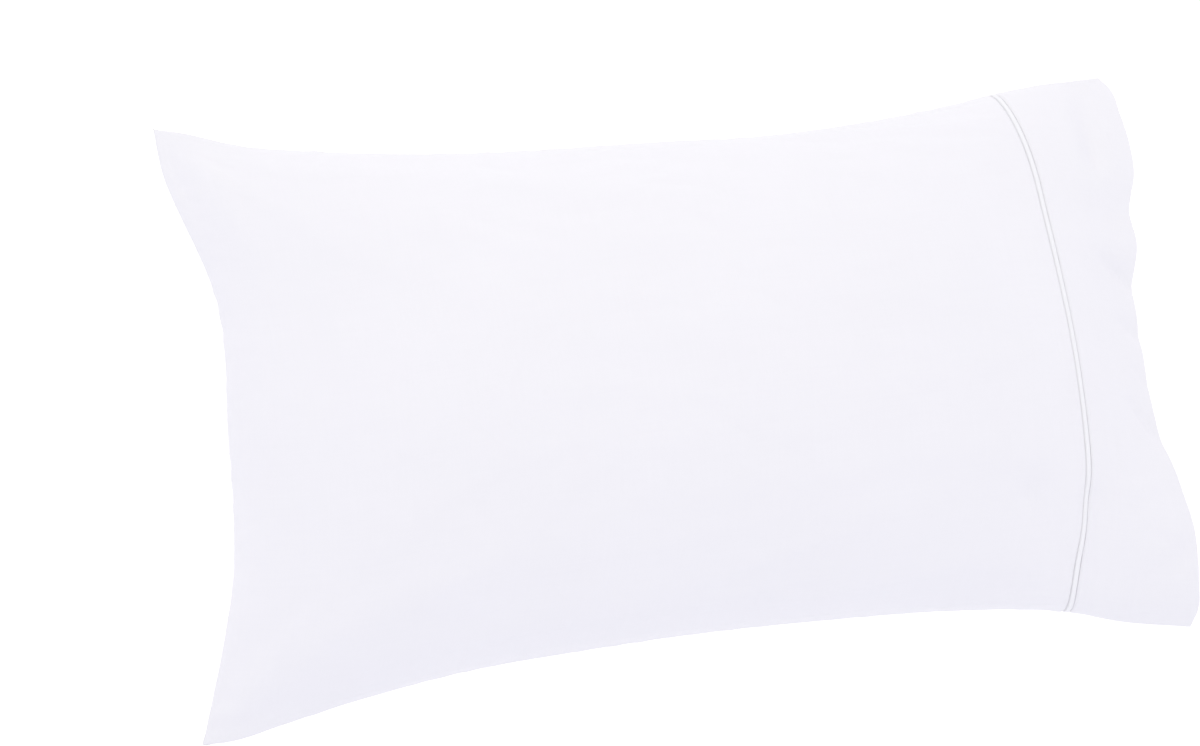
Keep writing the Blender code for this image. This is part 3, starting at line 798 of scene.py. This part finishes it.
def hem_cuff(material):
    """The open sleeve of doubled cloth: out along its outer face, over its rounded edge, and back inside."""
    rim = CUFF_WALL / 2
    first = FIRST_CUFF_ROWS[-1]
    middle = spread(HEM_ROWS, start=0.6, end=0.5)[1:-1]
    round_edge = rim * (1 - np.cos(np.linspace(np.pi / 2, 0, EDGE_ROWS)))
    grids, pasts = [], []
    for layer in (FRONT, BACK):
        measured = layer_grid(hem_points, layer, np.linspace(0, 1, MEASURED_CUFF + 1), ACROSS)
        total = length_along(measured, 0)[-1]
        past = np.array([np.full_like(total, length) for length in FIRST_CUFF_ROWS]
                        + [first + share * (total - rim - ROOM_BEFORE_EDGE - first) for share in middle]
                        + [total - before for before in round_edge])
        grids.append(rows_at(measured, past))
        pasts.append(past)
    reliefs = []
    for order, (layer, grid, past) in enumerate(zip((FRONT, BACK), grids, pasts)):
        x, y = grid[..., 0], grid[..., 1]
        from_lower, from_upper = from_sides(grid)
        relief = crease_relief(layer, x, y)
        relief += section_relief(TURNED_SEAM, from_lower) + section_relief(TURNED_SEAM, from_upper)
        relief += gathered_relief(order, (SIDE_GATHER, from_lower, x, 11), (SIDE_GATHER, from_upper, x, 23),
                                  (STRIP_GATHER, past, y, 57))
        relief += section_relief(CUFF_AT_STRIP, past - SEAM_LINE)
        open_edge = bell(past[-1] - past, OPEN_EDGE_GATHER.reach)
        relief += OPEN_EDGE_GATHER.height * ripple(y, OPEN_EDGE_GATHER.length, 91 + order) * open_edge
        reliefs.append(relief)
    layers, maps, shades = [], [], []
    for order, (grid, past, normal, relief) in enumerate(zip(grids, pasts, outward(*grids), agree(reliefs))):
        from_lower, from_upper = from_sides(grid)
        # Half the wall, rounded off at the open edge and closing on the inside towards the side seams
        half = np.sqrt(np.clip(rim ** 2 - (rim - np.clip(past[-1] - past, 0, rim)) ** 2, 0, None))
        inner_half = half * smooth_step(np.minimum(from_lower, from_upper) / CLOSING_LENGTH)
        centre = grid + normal * (relief - rim)[..., None]
        outer, inner = centre + normal * half[..., None], centre - normal * inner_half[..., None]
        layers.append(np.concatenate((outer, inner[::-1], outer[:1])))
        uv = lengths_map(grid, order, SEAM_LINE)
        uv_inner = uv[::-1] * np.array([-1, 1]) + np.array([2 * uv[-1, :, 0].max(), 0])
        maps.append(np.concatenate((uv, uv_inner, uv[:1])))
        # Painted shade beside the strip, along the side seams and on the line of stitches
        shade = np.maximum.reduce([bell(past - SEAM_LINE, STRIP_SHADE),
                                   CUFF_SIDE_STRENGTH * bell(from_lower, SEAM_SHADE),
                                   CUFF_SIDE_STRENGTH * bell(from_upper, SEAM_SHADE),
                                   STITCH_STRENGTH * bell(past - STITCH_LINE, STRIP_SHADE)])
        shades.append(np.concatenate((shade, shade[::-1], shade[:1])))
    # The inner faces of the two layers stay apart
    rows = len(grids[0])
    inside = np.s_[rows:2 * rows, 1:-1, 2]
    push = np.clip(MOUTH_ROOM - (layers[0][inside] - layers[1][inside]), 0, None) / 2
    layers[0][inside] += push
    layers[1][inside] -= push
    return skin("hem_band", layers, maps, shades, material)


def hem_stitches(material):
    """A row of lockstitches round the hem, each a short rounded thread that dips into the cloth at its ends."""
    beside = (STITCH_LINE - STITCH_BESIDE, STITCH_LINE, STITCH_LINE + STITCH_BESIDE)
    lines = [hem_rows(layer, beside, spread(STITCH_MEASURED, 1.0, 1.0)) for layer in (FRONT, BACK)]
    turns = np.linspace(0, 2 * np.pi, STITCH_SIDES, endpoint=False)
    ring_places = STITCH_LENGTH * np.array([ring.along for ring in STITCH_RINGS])
    verts, faces = [], []
    for line, normal in zip(lines, outward(*lines)):
        run = length_along(line[1], 0)
        for start in np.arange(STITCH_FROM_SIDE, run[-1] - STITCH_FROM_SIDE - STITCH_LENGTH, STITCH_PITCH):
            at = start + ring_places
            centres = np.stack([np.interp(at, run, line[1, :, axis]) for axis in range(3)], axis=-1)
            ups = np.stack([np.interp(at, run, normal[1, :, axis]) for axis in range(3)], axis=-1)
            way = centres[-1] - centres[0]
            way /= np.linalg.norm(way)
            base = len(verts)
            for centre, up, ring in zip(centres, ups, STITCH_RINGS):
                up = up - way * (up @ way)
                up /= np.linalg.norm(up)
                side = np.cross(way, up)
                rise, radius = ring.rise * STITCH_THICK / 2 - STITCH_SINK, ring.radius * STITCH_THICK / 2
                for turn in turns:
                    verts.append(centre + up * (rise + radius * np.sin(turn)) + side * radius * np.cos(turn))
            end = len(verts)
            for ring_start in range(base, end - STITCH_SIDES, STITCH_SIDES):
                for j in range(STITCH_SIDES):
                    a, b = ring_start + j, ring_start + (j + 1) % STITCH_SIDES
                    faces.append((a, b, b + STITCH_SIDES, a + STITCH_SIDES))
            faces.append(tuple(range(base, base + STITCH_SIDES)))
            faces.append(tuple(range(end - 1, end - 1 - STITCH_SIDES, -1)))
    mesh = bpy.data.meshes.new("hem_stitches")
    mesh.from_pydata((np.array(verts) + ORIGIN).tolist(), [], faces)
    return finish_mesh("hem_stitches", mesh, material, 1e-7)


# ---------------------------------------------------------------- stage
def camera():
    """The camera at the photograph's place and angle."""
    up = CAMERA_UP.normalized()
    back = CAMERA_RIGHT.cross(up).normalized()
    right = up.cross(back)
    eye = bpy.data.objects.new("camera", bpy.data.cameras.new("camera"))
    eye.data.sensor_width = SENSOR_MM
    eye.data.lens = LENS_MM
    eye.data.clip_start, eye.data.clip_end = 0.05, 50
    turned = Matrix((right, up, back)).transposed().to_4x4()
    eye.matrix_world = Matrix.Translation(CAMERA_PLACE + Vector(ORIGIN)) @ turned
    bpy.context.scene.collection.objects.link(eye)
    bpy.context.scene.camera = eye


def stage():
    """A pale floor under soft light: an even cool fill from all round and a large key from the far side."""
    scene = bpy.context.scene
    scene.view_settings.view_transform = "Standard"
    scene.view_settings.look = "None"
    scene.world = bpy.data.worlds.new("studio")
    scene.world.use_nodes = True
    background = scene.world.node_tree.nodes["Background"]
    background.inputs["Color"].default_value = SKY_COLOUR
    background.inputs["Strength"].default_value = SKY_STRENGTH

    mesh = bpy.data.meshes.new("floor")
    corners = ((-1, -1), (1, -1), (1, 1), (-1, 1))
    mesh.from_pydata([(x * FLOOR_HALF_SIDE, y * FLOOR_HALF_SIDE, FLOOR_LEVEL) for x, y in corners], [],
                     [(0, 1, 2, 3)])
    floor = bpy.data.objects.new("floor", mesh)
    scene.collection.objects.link(floor)
    paint = bpy.data.materials.new("floor")
    paint.use_nodes = True
    shader = paint.node_tree.nodes["Principled BSDF"]
    shader.inputs["Base Color"].default_value = FLOOR_COLOUR
    shader.inputs["Roughness"].default_value = 0.9
    shader.inputs["Specular IOR Level"].default_value = 0.1
    shader.inputs["Emission Color"].default_value = FLOOR_GLOW_COLOUR
    shader.inputs["Emission Strength"].default_value = FLOOR_GLOW
    floor.data.materials.append(paint)

    lamp = bpy.data.lights.new("key", "AREA")
    lamp.shape = "RECTANGLE"
    lamp.size, lamp.size_y = KEY_WIDTH, KEY_DEPTH
    lamp.energy = KEY_WATTS
    lamp.color = KEY_COLOUR
    key = bpy.data.objects.new("key", lamp)
    key.location = KEY_PLACE
    key.rotation_mode = "QUATERNION"
    key.rotation_quaternion = (KEY_AIM - KEY_PLACE).to_track_quat("-Z", "Y")
    key.visible_camera = False
    scene.collection.objects.link(key)


camera()
stage()
body_cloth = woven_cloth("case_cloth", (0.843, 0.837, 0.867), WEAVE_PITCH, 0.88)
cuff_cloth = woven_cloth("cuff_cloth", (0.844, 0.838, 0.867), WEAVE_PITCH, 0.88)
strip_cloth = woven_cloth("strip_cloth", (0.865, 0.865, 0.885), STRIP_WEAVE_PITCH, 0.80)
sewing = thread("sewing_thread", (0.86, 0.86, 0.88))

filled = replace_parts(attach(case_body(body_cloth), "root"), "case_body")
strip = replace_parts(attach(hem_strip(strip_cloth), "root"), "hem_strip")
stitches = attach(hem_stitches(sewing), "root")
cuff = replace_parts(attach(hem_cuff(cuff_cloth), "root"), "hem_cuff")
